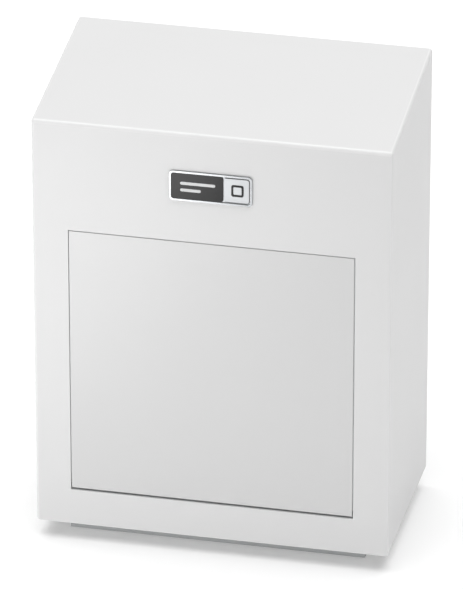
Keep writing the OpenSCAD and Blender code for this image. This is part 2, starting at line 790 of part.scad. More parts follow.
// One half-round flap of the backdraught damper; side is 1 for the right flap
module flap(side, own) {
  translate([0, 0, spigot_z])
    slab(axle_y - flap_t / 2, flap_t)
      intersection() {
        circle(r = flap_r);
        translate([side > 0 ? flap_gap : -flap_r - 1, -flap_r]) square([flap_r + 1 - flap_gap, 2 * flap_r]);
      }
  for (k = own)
    difference() {
      union() {
        translate([0, axle_y, spigot_z + k[0]]) cylinder(r = knuckle_r, h = k[1] - k[0]);
        block(
          [side > 0 ? 0 : -flap_gap - 1, axle_y - flap_t / 2, spigot_z + k[0]],
          [side > 0 ? flap_gap + 1 : 0, axle_y + flap_t / 2, spigot_z + k[1]]
        );
      }
      translate([0, axle_y, spigot_z + k[0] - 1]) cylinder(r = axle_r + running, h = k[1] - k[0] + 2);
    }
}

module flap_left() color("#b9bec1") flap(-1, [knuckles[0], knuckles[2]]);

module flap_right() color("#b9bec1") flap(1, [knuckles[1], knuckles[3]]);

// Light torsion spring round the middle of the axle
module flap_spring() color("silver")
  translate([0, axle_y, spigot_z - 9]) coil(2.3, 0.4, 18, 12);

// Foam ring between the back plate and the wall
module wall_seal() color(foam) ring_y(0, plate_rear, spigot_z, spigot_r + 20, spigot_r + 8, wall_recess);

// ---------------------------------------------------------------- electrics

// Terminal box, open to the front
module terminal_box() color("#d9dbdc")
  difference() {
    block([box_x[0], box_y, box_z[0]], [box_x[1], plate_y, box_z[1]]);
    block([box_x[0] + 2, box_y - 1, box_z[0] + 2], [box_x[1] - 2, plate_y - 2, box_z[1] - 2]);
    rod_y(entry[0], plate_y - 4, entry[1], 8, 6);
    rod_x(box_x[0] - 1, lead_route[0][1], lead_route[0][2], lead_r + 0.2, 4);
  }

module terminal_cover() color("#e4e5e6")
  difference() {
    block([box_x[0] - 1, box_y - 2.5, box_z[0] - 1], [box_x[1] + 1, box_y, box_z[1] + 1]);
    for (z = [box_z[0] + 8, box_z[1] - 8]) rod_y((box_x[0] + box_x[1]) / 2, box_y - 4, z, 1.5, 6);
  }

module terminal_screws() color("silver")
  for (z = [box_z[0] + 8, box_z[1] - 8]) screw_y((box_x[0] + box_x[1]) / 2, box_y - 2.5, z, 3, 1.5, 10);

// Row of five screw terminals
module terminal_block() color("#ededed")
  difference() {
    block([box_x[0] + 8, plate_y - 20, box_z[1] - 38], [box_x[1] - 8, plate_y - 2, box_z[1] - 24]);
    for (i = [0:4]) rod_y(box_x[0] + 14 + i * 9, plate_y - 21, box_z[1] - 31, 2, 10);
  }

// Motor capacitor
module run_capacitor() color("#e8e9ea")
  translate([capacitor[0], capacitor[1], box_z[1] + 14])
    rotate_extrude()
      polygon([[0, 0], [12, 0], [14, 2], [14, 58], [13, 59], [8, 60], [8, 63], [0, 63]]);

// Band that holds the capacitor against the back plate
module capacitor_clamp() color(steel)
  translate([capacitor[0], capacitor[1], box_z[1] + 38])
    difference() {
      union() {
        cylinder(r = 15, h = 12);
        block([-24, plate_y - capacitor[1] - sheet, 0], [24, plate_y - capacitor[1], 12]);
        block([-15, 0, 0], [-13, plate_y - capacitor[1], 12]);
        block([13, 0, 0], [15, plate_y - capacitor[1], 12]);
      }
      translate([0, 0, -1]) cylinder(r = 14, h = 14);
    }

// Rubber grommet in the cable entry
module cable_grommet() color(black)
  turned_y(entry[0], entry[1], [
    [5, plate_y - 4], [10, plate_y - 4], [10, plate_y - 2], [8, plate_y - 2], [8, plate_rear],
    [10, plate_rear], [10, plate_rear + 2], [5, plate_rear + 2],
  ]);

// Cable from the terminal box, behind the scroll, to the motor
module motor_lead() color("#303336") swept(lead_route, lead_r);

hood();
panel_frame();
back_plate();
base_tray();
intake_plinth();
drawer_runners();
panel_seal();
casing_screws();
badge_bezel();
badge_dark_field();
badge_light_field();
badge_marks();
hinge_pins();
latch_housings();
latch_springs();
acoustic_lining();
scroll_housing();
scroll_cover();
cover_screws();
inlet_ring();
finger_guard();
motor_plate();
motor_stator();
motor_windings();
shaft_bearings();
motor_screws();
rubber_mounts();
mount_nuts();
outlet_duct();
duct_spigot();
spigot_screws();
flap_axle();
flap_spring();
wall_seal();
terminal_box();
terminal_cover();
terminal_screws();
terminal_block();
run_capacitor();
capacitor_clamp();
cable_grommet();
motor_lead();
front_panel();
panel_insulation();
hinge_leaves();
latch_strikers();
drawer_front();
drawer_frame();
filter_grille();
filter_mat();
motor_rotor();
motor_shaft();
impeller();
impeller_ring();
flap_left();
flap_right();
latch_plunger_left();
latch_plunger_right();
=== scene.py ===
"""Visual model of a wall-mounted ventilation unit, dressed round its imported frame.

The hood, the service panel and the badge are rebuilt with the folds and rounded edges that the real pieces
have. The other nodes are copied with broken edges, or keep their shape, and each gets the finish of its
real material.
"""

import json
import logging
import math
from dataclasses import dataclass, field
from enum import Enum
from typing import Any, Callable, Optional, Sequence

import bpy
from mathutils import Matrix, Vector


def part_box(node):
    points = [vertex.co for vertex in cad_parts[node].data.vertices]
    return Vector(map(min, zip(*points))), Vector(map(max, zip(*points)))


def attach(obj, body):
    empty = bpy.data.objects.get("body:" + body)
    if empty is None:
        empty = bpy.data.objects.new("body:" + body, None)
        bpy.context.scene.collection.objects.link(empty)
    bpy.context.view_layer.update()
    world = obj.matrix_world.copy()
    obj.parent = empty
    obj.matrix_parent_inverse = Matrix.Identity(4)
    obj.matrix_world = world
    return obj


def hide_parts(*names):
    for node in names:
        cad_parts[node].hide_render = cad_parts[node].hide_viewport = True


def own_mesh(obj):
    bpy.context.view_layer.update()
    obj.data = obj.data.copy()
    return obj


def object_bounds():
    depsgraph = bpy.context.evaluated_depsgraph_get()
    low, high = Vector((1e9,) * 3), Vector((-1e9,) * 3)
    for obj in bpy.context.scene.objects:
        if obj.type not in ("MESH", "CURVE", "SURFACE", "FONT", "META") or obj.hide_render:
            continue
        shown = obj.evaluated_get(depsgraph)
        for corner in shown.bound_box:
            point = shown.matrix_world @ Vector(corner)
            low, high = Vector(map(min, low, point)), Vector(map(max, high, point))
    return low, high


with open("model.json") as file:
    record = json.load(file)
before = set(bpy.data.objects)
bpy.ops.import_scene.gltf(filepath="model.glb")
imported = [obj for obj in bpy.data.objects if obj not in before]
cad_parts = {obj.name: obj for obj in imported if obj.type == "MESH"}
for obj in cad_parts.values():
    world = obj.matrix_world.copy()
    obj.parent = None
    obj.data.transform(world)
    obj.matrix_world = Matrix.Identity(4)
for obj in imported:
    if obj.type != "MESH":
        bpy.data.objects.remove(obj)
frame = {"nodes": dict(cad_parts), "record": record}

MM = 0.001
LOG = logging.getLogger("ventilation_unit")
CAD_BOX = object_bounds()
# Point attribute that paints a highlight along the hood's folds: a lighter coat colour there.
FOLD_HIGHLIGHT_PAINT = "painted_fold_highlight"


# ---------------------------------------------------------------- shader helpers


def linear(hex_colour: str) -> tuple[float, float, float, float]:
    """Turns an sRGB hex colour into linear light.

    Args:
        hex_colour: Colour such as "#e8e8e6".

    Returns:
        Linear red, green, blue and an alpha of 1.
    """
    parts = [int(hex_colour[i:i + 2], 16) / 255 for i in (1, 3, 5)]
    light = [c / 12.92 if c <= 0.04045 else ((c + 0.055) / 1.055) ** 2.4 for c in parts]
    return (light[0], light[1], light[2], 1.0)


def add_node(
    tree: bpy.types.NodeTree,
    kind: str,
    values: Optional[dict[Any, Any]] = None,
    links: Optional[dict[Any, bpy.types.NodeSocket]] = None,
    **settings: Any,
) -> bpy.types.Node:
    """Adds one shader node.

    Args:
        tree: Tree that gets the node.
        kind: Blender's name for the node's type.
        values: Constants by input name or number.
        links: Output sockets by input name or number.
        settings: The node's own settings.

    Returns:
        The new node.
    """
    made = tree.nodes.new(kind)
    for name, value in settings.items():
        setattr(made, name, value)
    for name, value in (values or {}).items():
        made.inputs[name].default_value = value
    for name, socket in (links or {}).items():
        tree.links.new(socket, made.inputs[name])
    return made


def per_metre(size_mm: float) -> float:
    """Texture scale whose pattern repeats about every size_mm on Object coordinates."""
    return 1.0 / (size_mm * MM)


# ---------------------------------------------------------------- finishes


@dataclass(frozen=True)
class Finish:
    """A material made from one shader; subclasses add the pattern of the real surface.

    The constants sit on the shader's own sockets.
    """

    name: str
    colour: str
    roughness: float
    metallic: float = 0.0
    coat: float = 0.0
    coat_roughness: float = 0.1
    ior: float = 1.5

    def build(self) -> bpy.types.Material:
        """Makes the material, or returns the one already made under this name.

        Returns:
            The finished material.
        """
        ready = bpy.data.materials.get(self.name)
        if ready:
            return ready
        material = bpy.data.materials.new(self.name)
        material.use_nodes = True
        tree = material.node_tree
        shader = tree.nodes["Principled BSDF"]
        shader.inputs["Base Color"].default_value = linear(self.colour)
        shader.inputs["Roughness"].default_value = self.roughness
        shader.inputs["Metallic"].default_value = self.metallic
        shader.inputs["IOR"].default_value = self.ior
        if self.coat:
            shader.inputs["Coat Weight"].default_value = self.coat
            shader.inputs["Coat Roughness"].default_value = self.coat_roughness
        place = add_node(tree, "ShaderNodeTexCoord").outputs["Object"]
        self.pattern(tree, shader, place)
        return material

    def pattern(self, tree: bpy.types.NodeTree, shader: bpy.types.Node, place: bpy.types.NodeSocket) -> None:
        """Adds the surface's own pattern; a plain finish has a faint grain.

        Args:
            tree: The material's node tree.
            shader: Its shader.
            place: Object coordinates.
        """
        self.bump(tree, shader, self.noise(tree, place, 0.8, 2.0), 0.05, 0.02)

    def noise(
        self, tree: bpy.types.NodeTree, place: bpy.types.NodeSocket, size_mm: float, detail: float
    ) -> bpy.types.NodeSocket:
        """Noise of a real size.

        Args:
            tree: The material's node tree.
            place: Coordinates.
            size_mm: Size of one blotch or grain.
            detail: How many finer layers it has.

        Returns:
            The noise's value.
        """
        made = add_node(
            tree, "ShaderNodeTexNoise", {"Scale": per_metre(size_mm), "Detail": detail}, {"Vector": place}
        )
        return made.outputs["Fac"]

    def stretched(
        self, tree: bpy.types.NodeTree, place: bpy.types.NodeSocket, sizes_mm: Sequence[float]
    ) -> bpy.types.NodeSocket:
        """Noise drawn out along an axis, for brush marks and rolling lines.

        Args:
            tree: The material's node tree.
            place: Coordinates.
            sizes_mm: Size of a mark along X, Y and Z.

        Returns:
            The noise's value.
        """
        mapped = add_node(
            tree, "ShaderNodeMapping", {"Scale": [per_metre(s) for s in sizes_mm]}, {"Vector": place}
        )
        made = add_node(
            tree, "ShaderNodeTexNoise", {"Scale": 1.0, "Detail": 3.0}, {"Vector": mapped.outputs[0]}
        )
        return made.outputs["Fac"]

    def bump(
        self,
        tree: bpy.types.NodeTree,
        shader: bpy.types.Node,
        height: bpy.types.NodeSocket,
        strength: float,
        depth_mm: float,
        under: Optional[bpy.types.NodeSocket] = None,
    ) -> bpy.types.NodeSocket:
        """Raises the surface by a pattern.

        Args:
            tree: The material's node tree.
            shader: Its shader, whose normal is set.
            height: The pattern.
            strength: How much of the effect shows.
            depth_mm: Height from the lowest to the highest point.
            under: A normal that this one builds on.

        Returns:
            The bumped normal.
        """
        links = {"Height": height}
        if under:
            links["Normal"] = under
        made = add_node(tree, "ShaderNodeBump", {"Strength": strength, "Distance": depth_mm * MM}, links)
        tree.links.new(made.outputs["Normal"], shader.inputs["Normal"])
        return made.outputs["Normal"]

    def spread(
        self,
        tree: bpy.types.NodeTree,
        value: bpy.types.NodeSocket,
        target: bpy.types.NodeSocket,
        low: float,
        high: float,
    ) -> None:
        """Drives a socket between two values by a pattern.

        Args:
            tree: The material's node tree.
            value: Pattern from 0 to 1.
            target: Socket to drive.
            low: Value where the pattern is dark.
            high: Value where the pattern is light.
        """
        made = add_node(
            tree,
            "ShaderNodeMapRange",
            {"From Min": 0.3, "From Max": 0.7, "To Min": low, "To Max": high},
            {"Value": value},
        )
        tree.links.new(made.outputs["Result"], target)

    def tint(
        self,
        tree: bpy.types.NodeTree,
        shader: bpy.types.Node,
        value: bpy.types.NodeSocket,
        dark: str,
        light: str,
        edges: tuple[float, float] = (0.3, 0.7),
    ) -> None:
        """Varies the base colour by a pattern.

        Args:
            tree: The material's node tree.
            shader: Its shader.
            value: Pattern from 0 to 1.
            dark: Colour where the pattern is low.
            light: Colour where the pattern is high.
            edges: Pattern values where the two colours are reached.
        """
        ramp = add_node(tree, "ShaderNodeValToRGB", None, {"Fac": value})
        for stop, place, colour in zip(ramp.color_ramp.elements, edges, (dark, light)):
            stop.position = place
            stop.color = linear(colour)
        tree.links.new(ramp.outputs["Color"], shader.inputs["Base Color"])


@dataclass(frozen=True)
class PowderCoat(Finish):
    """Polyester powder coat on steel: an even colour with orange peel, over faint waves of the sheet."""

    peel_mm: float = 2.2
    peel_strength: float = 0.12
    wave_mm: float = 90.0
    wave_strength: float = 0.15

    def pattern(self, tree: bpy.types.NodeTree, shader: bpy.types.Node, place: bpy.types.NodeSocket) -> None:
        """Orange peel, drawn about twice as coarse so that it shows, over sheet waves and faint cloud."""
        waves = self.bump(tree, shader, self.noise(tree, place, self.wave_mm, 1.0), self.wave_strength, 0.25)
        self.bump(tree, shader, self.noise(tree, place, self.peel_mm, 1.0), self.peel_strength, 0.05, waves)
        cloud = self.noise(tree, place, 60.0, 1.0)
        self.spread(tree, cloud, shader.inputs["Roughness"], self.roughness - 0.015, self.roughness + 0.015)


@dataclass(frozen=True)
class PowderCoatWithFoldHighlight(PowderCoat):
    """Powder coat on a folded sheet, with a painted highlight: the outside folds get a lighter colour."""

    # Lighter colour along the folds: a painted highlight.
    fold_highlight_colour: str = "#eeeeee"

    def pattern(self, tree: bpy.types.NodeTree, shader: bpy.types.Node, place: bpy.types.NodeSocket) -> None:
        """The plain coat's pattern, and a painted highlight: a lighter colour along the folds."""
        super().pattern(tree, shader, place)
        # Painted highlight: the fold attribute blends the colour towards the lighter fold colour.
        painted_highlight = add_node(tree, "ShaderNodeAttribute", attribute_name=FOLD_HIGHLIGHT_PAINT)
        self.tint(tree, shader, painted_highlight.outputs["Fac"], self.colour, self.fold_highlight_colour, (0.0, 1.0))


@dataclass(frozen=True)
class GalvanisedSheet(Finish):
    """Hot-dip galvanised steel: spangle that breaks the reflection into grey flakes, with rolling lines."""

    spangle_mm: float = 7.0

    def pattern(self, tree: bpy.types.NodeTree, shader: bpy.types.Node, place: bpy.types.NodeSocket) -> None:
        """Flakes of slightly different grey and gloss, and fine rolling lines."""
        flakes = add_node(
            tree,
            "ShaderNodeTexVoronoi",
            {"Scale": per_metre(self.spangle_mm)},
            {"Vector": place},
            feature="F1",
        )
        grey = add_node(tree, "ShaderNodeSeparateColor", None, {"Color": flakes.outputs["Color"]})
        self.tint(tree, shader, grey.outputs[0], "#9a9fa2", "#b9bdc0", (0.0, 1.0))
        self.spread(
            tree, grey.outputs[1], shader.inputs["Roughness"], self.roughness - 0.08, self.roughness + 0.12
        )
        self.bump(tree, shader, self.stretched(tree, place, (40.0, 3.0, 1.2)), 0.08, 0.03)


@dataclass(frozen=True)
class MouldedPlastic(Finish):
    """Injection-moulded ABS or nylon: a fine eroded grain that softens the highlight."""

    grain_mm: float = 1.2
    grain_strength: float = 0.25

    def pattern(self, tree: bpy.types.NodeTree, shader: bpy.types.Node, place: bpy.types.NodeSocket) -> None:
        """Mould grain, drawn a little coarse so that it shows, and faint flow marks in the gloss."""
        self.bump(tree, shader, self.noise(tree, place, self.grain_mm, 4.0), self.grain_strength, 0.06)
        flow = self.noise(tree, place, 25.0, 2.0)
        self.spread(tree, flow, shader.inputs["Roughness"], self.roughness - 0.05, self.roughness + 0.07)


@dataclass(frozen=True)
class MouldedRubber(Finish):
    """EPDM rubber: matt, with a bloom of lighter grey."""

    bloom: tuple[str, str] = ("#161718", "#222426")

    def pattern(self, tree: bpy.types.NodeTree, shader: bpy.types.Node, place: bpy.types.NodeSocket) -> None:
        """Bloom in patches and a slight moulded grain."""
        self.tint(tree, shader, self.noise(tree, place, 6.0, 4.0), *self.bloom)
        self.bump(tree, shader, self.noise(tree, place, 0.9, 3.0), 0.2, 0.05)


@dataclass(frozen=True)
class OpenCellFoam(Finish):
    """Polyurethane sound foam: open cells that swallow the light."""

    cell_mm: float = 1.8

    def pattern(self, tree: bpy.types.NodeTree, shader: bpy.types.Node, place: bpy.types.NodeSocket) -> None:
        """Cells with painted shade in the pores and lighter struts."""
        cells = add_node(
            tree, "ShaderNodeTexVoronoi", {"Scale": per_metre(self.cell_mm)}, {"Vector": place}, feature="F1"
        )
        # Painted shade: the colour darkens towards each cell's middle, in the pores.
        self.tint(tree, shader, cells.outputs["Distance"], "#17181a", "#3a3d41", (0.1, 0.6))
        self.bump(tree, shader, cells.outputs["Distance"], 0.8, 0.6)


@dataclass(frozen=True)
class BrightMetal(Finish):
    """Plated or polished metal: a tight reflection with a slight haze."""

    haze: float = 0.05

    def pattern(self, tree: bpy.types.NodeTree, shader: bpy.types.Node, place: bpy.types.NodeSocket) -> None:
        """Haze that varies over a few millimetres."""
        patch = self.noise(tree, place, 4.0, 3.0)
        low = max(self.roughness - self.haze, 0.02)
        self.spread(tree, patch, shader.inputs["Roughness"], low, self.roughness + self.haze)


@dataclass(frozen=True)
class BrushedMetal(Finish):
    """Brushed or ground metal: fine lines along one axis."""

    lines_mm: tuple[float, float, float] = (20.0, 0.6, 0.6)
    strength: float = 0.2

    def pattern(self, tree: bpy.types.NodeTree, shader: bpy.types.Node, place: bpy.types.NodeSocket) -> None:
        """Lines in the height and in the gloss."""
        lines = self.stretched(tree, place, self.lines_mm)
        self.bump(tree, shader, lines, self.strength, 0.03)
        self.spread(tree, lines, shader.inputs["Roughness"], self.roughness - 0.07, self.roughness + 0.1)


@dataclass(frozen=True)
class CastAlloy(Finish):
    """Pressure die-cast aluminium: a dull skin with a sandy grain."""

    def pattern(self, tree: bpy.types.NodeTree, shader: bpy.types.Node, place: bpy.types.NodeSocket) -> None:
        """Sandy grain and darker flow patches."""
        self.bump(tree, shader, self.noise(tree, place, 0.8, 5.0), 0.3, 0.08)
        self.tint(tree, shader, self.noise(tree, place, 9.0, 3.0), "#8d9194", "#a7abad")


@dataclass(frozen=True)
class WoundCopper(Finish):
    """Enamelled copper wire in a bundle: bright strands with painted shade in the valleys between them, at
    twice their real pitch.
    """

    def pattern(self, tree: bpy.types.NodeTree, shader: bpy.types.Node, place: bpy.types.NodeSocket) -> None:
        """Strands round the axis, with painted shade darkening the valleys between them."""
        strands = add_node(
            tree,
            "ShaderNodeTexWave",
            {
                "Scale": per_metre(1.4) / (2 * math.pi) * 3,
                "Distortion": 2.5,
                "Detail": 2.0,
                "Detail Scale": 2.0,
            },
            {"Vector": place},
            wave_type="BANDS",
            bands_direction="Y",
        )
        # Painted shade: the valleys between the strands go dark brown.
        self.tint(tree, shader, strands.outputs["Fac"], "#5e2c10", "#c77a3f", (0.1, 0.8))
        self.bump(tree, shader, strands.outputs["Fac"], 0.7, 0.35)


@dataclass(frozen=True)
class LaminatedCore(Finish):
    """Stack of electrical sheet: fine dark lines between the laminations."""

    def pattern(self, tree: bpy.types.NodeTree, shader: bpy.types.Node, place: bpy.types.NodeSocket) -> None:
        """Lines across the stack, drawn twice as coarse as the sheets so that they show."""
        stack = add_node(
            tree,
            "ShaderNodeTexWave",
            {"Scale": per_metre(1.0) / (2 * math.pi) * 3},
            {"Vector": place},
            wave_type="BANDS",
            bands_direction="Y",
        )
        self.tint(tree, shader, stack.outputs["Fac"], "#3c3f42", "#6d7174", (0.1, 0.6))
        self.bump(tree, shader, stack.outputs["Fac"], 0.4, 0.1)


@dataclass(frozen=True)
class PleatedFleece(Finish):
    """Polyester filter fleece: matted fibres, soft and off-white."""

    def pattern(self, tree: bpy.types.NodeTree, shader: bpy.types.Node, place: bpy.types.NodeSocket) -> None:
        """Fibres at two sizes, with a little grey dust in the valleys."""
        self.tint(tree, shader, self.noise(tree, place, 3.0, 6.0), "#c9cccb", "#eceeed")
        self.bump(tree, shader, self.stretched(tree, place, (0.5, 3.0, 0.5)), 0.6, 0.25)


@dataclass(frozen=True)
class GlowingFloor(Finish):
    """Pale studio floor that gives off a little light of its own."""

    glow: float = 0.4

    def pattern(self, tree: bpy.types.NodeTree, shader: bpy.types.Node, place: bpy.types.NodeSocket) -> None:
        """Even light over the whole floor."""
        shader.inputs["Emission Color"].default_value = (1.0, 1.0, 1.0, 1.0)
        shader.inputs["Emission Strength"].default_value = self.glow


# The hood's white coat, with a painted highlight along its folds.
WHITE_COAT = PowderCoatWithFoldHighlight("white_powder_coat", "#e4e4e4", 0.36)
PANEL_COAT = PowderCoat(
    "smooth_white_panel_coat", "#d7d7d7", 0.3, coat=0.9, coat_roughness=0.28, peel_mm=3.0, peel_strength=0.04,
    wave_strength=0.06,
)
INNER_COAT = PowderCoat("thin_inner_coat", "#dcdcda", 0.5)
PLINTH_COAT = PowderCoat("grey_plinth_coat", "#c2c4c5", 0.5)
ZINC_SHEET = GalvanisedSheet("galvanised_sheet", "#aaaeb1", 0.36, metallic=1.0)
BLACK_PLASTIC = MouldedPlastic("black_moulded_plastic", "#1b1c1e", 0.42)
GREY_PLASTIC = MouldedPlastic("grey_moulded_plastic", "#86898b", 0.45)
BLADE_PLASTIC = MouldedPlastic("glass_filled_nylon", "#25282b", 0.38, grain_mm=0.9)
BOX_PLASTIC = MouldedPlastic("light_grey_abs", "#d3d5d5", 0.4, grain_strength=0.15)
CREAM_PLASTIC = MouldedPlastic("cream_polyamide", "#e3e1d6", 0.4, grain_strength=0.1)
CAPACITOR_CASE = MouldedPlastic("white_capacitor_case", "#dcdedf", 0.25, grain_strength=0.05)
RUBBER = MouldedRubber("epdm_rubber", "#1b1c1e", 0.75)
PALE_SEAL = MouldedRubber("pale_grey_seal", "#c8cacb", 0.7, bloom=("#c4c6c7", "#cdcfd0"))
FOAM = OpenCellFoam("open_cell_foam", "#2a2c2f", 0.95)
CHROME = BrightMetal("polished_chrome", "#a8aaac", 0.16, metallic=1.0)
ZINC_SCREW = BrightMetal("bright_zinc_plate", "#c3c7c9", 0.24, metallic=1.0, haze=0.08)
GROUND_STEEL = BrushedMetal("ground_steel", "#b9bcbe", 0.22, metallic=1.0, lines_mm=(0.5, 9.0, 0.5))
SPRING_WIRE = BrushedMetal("drawn_spring_wire", "#a7aaac", 0.28, metallic=1.0, lines_mm=(2.0, 2.0, 2.0))
ROLLED_ALUMINIUM = BrushedMetal("rolled_aluminium", "#c4c7c9", 0.3, metallic=1.0, lines_mm=(0.7, 0.7, 24.0))
SATIN_PLATE = BrushedMetal(
    "satin_badge_plate", "#b2b4b6", 0.34, metallic=0.85, lines_mm=(18.0, 0.4, 0.4), strength=0.1
)
CAST_PLATE = CastAlloy("die_cast_aluminium", "#9da1a4", 0.5, metallic=1.0)
COPPER = WoundCopper("enamelled_copper", "#b06a35", 0.3, metallic=0.9, coat=0.4)
CORE_STEEL = LaminatedCore("laminated_core", "#5b5f62", 0.45, metallic=0.9)
ROTOR_STEEL = BrushedMetal("black_passivated_steel", "#33363a", 0.34, metallic=0.7, lines_mm=(0.6, 6.0, 0.6))
BADGE_ENAMEL = Finish("dark_badge_enamel", "#0b0c0d", 0.16, ior=1.4)
PALE_PRINT = Finish("pale_badge_print", "#dcdddd", 0.35)
FLEECE = PleatedFleece("pleated_fleece", "#e1e3e2", 0.95)

NODE_FINISHES: dict[str, Finish] = {
    "panel_frame": INNER_COAT,
    "back_plate": ZINC_SHEET,
    "base_tray": INNER_COAT,
    "intake_plinth": PLINTH_COAT,
    "drawer_runners": ZINC_SHEET,
    "panel_seal": PALE_SEAL,
    "casing_screws": ZINC_SCREW,
    "hinge_pins": GROUND_STEEL,
    "latch_housings": BLACK_PLASTIC,
    "latch_springs": SPRING_WIRE,
    "acoustic_lining": FOAM,
    "scroll_housing": ZINC_SHEET,
    "scroll_cover": ZINC_SHEET,
    "cover_screws": ZINC_SCREW,
    "inlet_ring": BLACK_PLASTIC,
    "finger_guard": ZINC_SCREW,
    "motor_plate": CAST_PLATE,
    "motor_stator": CORE_STEEL,
    "motor_windings": COPPER,
    "shaft_bearings": GROUND_STEEL,
    "motor_screws": ZINC_SCREW,
    "rubber_mounts": RUBBER,
    "mount_nuts": ZINC_SCREW,
    "outlet_duct": ZINC_SHEET,
    "duct_spigot": BLACK_PLASTIC,
    "spigot_screws": ZINC_SCREW,
    "flap_axle": GROUND_STEEL,
    "flap_spring": SPRING_WIRE,
    "wall_seal": FOAM,
    "terminal_box": BOX_PLASTIC,
    "terminal_cover": BOX_PLASTIC,
    "terminal_screws": ZINC_SCREW,
    "terminal_block": CREAM_PLASTIC,
    "run_capacitor": CAPACITOR_CASE,
    "capacitor_clamp": ZINC_SHEET,
    "cable_grommet": RUBBER,
    "motor_lead": RUBBER,
    "panel_insulation": FOAM,
    "hinge_leaves": ZINC_SHEET,
    "latch_strikers": ZINC_SHEET,
    "drawer_frame": BLACK_PLASTIC,
    "drawer_front": PLINTH_COAT,
    "filter_grille": GREY_PLASTIC,
    "filter_mat": FLEECE,
    "motor_rotor": ROTOR_STEEL,
    "motor_shaft": GROUND_STEEL,
    "impeller": BLADE_PLASTIC,
    "impeller_ring": SPRING_WIRE,
    "flap_left": ROLLED_ALUMINIUM,
    "flap_right": ROLLED_ALUMINIUM,
    "latch_plunger_left": GREY_PLASTIC,
    "latch_plunger_right": GREY_PLASTIC,
}

# Width in millimetres of the small radii and broken edges of the pieces that otherwise keep their shape.
BROKEN_EDGES: dict[str, float] = {
    "panel_frame": 0.3,
    "back_plate": 0.25,
    "base_tray": 0.25,
    "intake_plinth": 0.4,
    "drawer_front": 0.4,
    "panel_seal": 0.8,
    "latch_housings": 0.5,
    "acoustic_lining": 1.2,
    "panel_insulation": 1.5,
    "motor_plate": 0.8,
    "duct_spigot": 0.4,
    "wall_seal": 1.2,
    "terminal_box": 0.7,
    "terminal_cover": 0.7,
    "terminal_block": 0.4,
    "run_capacitor": 0.8,
    "cable_grommet": 0.5,
    "hinge_leaves": 0.2,
    "latch_strikers": 0.2,
    "drawer_frame": 0.5,
    "flap_left": 0.15,
    "flap_right": 0.15,
    "latch_plunger_left": 0.4,
    "latch_plunger_right": 0.4,
}


# ---------------------------------------------------------------- modelling helpers


class Mode(Enum):
    """Blender's two modes used here."""

    OBJECT = "OBJECT"
    EDIT = "EDIT"


class Axis(Enum):
    """Axes of the frame, as places in a vector."""

    X = 0
    Y = 1
    Z = 2


NEAR = 0.03 * MM


@dataclass(frozen=True)
class Box:
    """Box of a node or of a piece, with tests for edges that lie on its sides."""

    low: Vector
    high: Vector

    @classmethod
    def of(cls, *nodes: str) -> "Box":
        """Box round one or more CAD nodes."""
        corners = [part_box(node) for node in nodes]
        low = Vector([min(c[0][i] for c in corners) for i in range(3)])
        high = Vector([max(c[1][i] for c in corners) for i in range(3)])
        return cls(low, high)

    def on_low(self, a: Vector, b: Vector, axis: Axis) -> bool:
        """True when both ends lie on the low side of an axis."""
        return all(abs(end[axis.value] - self.low[axis.value]) < NEAR for end in (a, b))

    def on_high(self, a: Vector, b: Vector, axis: Axis) -> bool:
        """True when both ends lie on the high side of an axis."""
        return all(abs(end[axis.value] - self.high[axis.value]) < NEAR for end in (a, b))

    def inset(self, amount: float) -> "Box":
        """The same box, smaller by an amount on every side."""
        step = Vector((amount, amount, amount))
        return Box(self.low + step, self.high - step)


def enter(mode: Mode) -> None:
    """Switches to object or edit mode."""
    if bpy.context.object and bpy.context.object.mode != mode.value:
        bpy.ops.object.mode_set(mode=mode.value)


def work_on(piece: bpy.types.Object) -> None:
    """Makes one piece the only selected one and the active one."""
    enter(Mode.OBJECT)
    bpy.ops.object.select_all(action="DESELECT")
    piece.select_set(True)
    bpy.context.view_layer.objects.active = piece


def merged_copy(node: str, name: str) -> bpy.types.Object:
    """Copies a CAD node, joins its loose triangles and clears the edges inside flat faces.

    Args:
        node: The CAD node's name.
        name: Name of the new piece.

    Returns:
        The copy, at the origin, with its own mesh.
    """
    source = frame["nodes"][node]
    piece = bpy.data.objects.new(name, source.data.copy())
    bpy.context.scene.collection.objects.link(piece)
    work_on(piece)
    if piece.data.has_custom_normals:
        bpy.ops.mesh.customdata_custom_splitnormals_clear()
    enter(Mode.EDIT)
    bpy.ops.mesh.select_all(action="SELECT")
    bpy.ops.mesh.remove_doubles(threshold=0.002 * MM)
    bpy.ops.mesh.dissolve_limited(angle_limit=math.radians(0.3))
    enter(Mode.OBJECT)
    return piece


def block(name: str, low: Sequence[float], high: Sequence[float]) -> bpy.types.Object:
    """Adds a box between two corners, as the start of a piece.

    Args:
        name: Name of the new piece.
        low: Lowest corner, in metres.
        high: Highest corner, in metres.

    Returns:
        The box, with its place in its mesh.
    """
    enter(Mode.OBJECT)
    bpy.ops.object.select_all(action="DESELECT")
    centre = (Vector(low) + Vector(high)) / 2
    bpy.ops.mesh.primitive_cube_add(size=1.0, location=centre)
    piece = bpy.context.object
    piece.name = name
    piece.scale = Vector(high) - Vector(low)
    bpy.ops.object.transform_apply(location=True, rotation=True, scale=True)
    return piece


def select_edges(piece: bpy.types.Object, wanted: Callable[[Vector, Vector], bool]) -> int:
    """Selects the edges whose two ends pass a test, in edge mode.

    Args:
        piece: The piece to work on.
        wanted: Test of an edge's two ends.

    Returns:
        How many edges were selected.
    """
    work_on(piece)
    enter(Mode.EDIT)
    bpy.ops.mesh.select_mode(type="EDGE")
    bpy.ops.mesh.select_all(action="DESELECT")
    enter(Mode.OBJECT)
    points = piece.data.vertices
    chosen = [e for e in piece.data.edges if wanted(points[e.vertices[0]].co, points[e.vertices[1]].co)]
    for edge in chosen:
        edge.select = True
    enter(Mode.EDIT)
    return len(chosen)


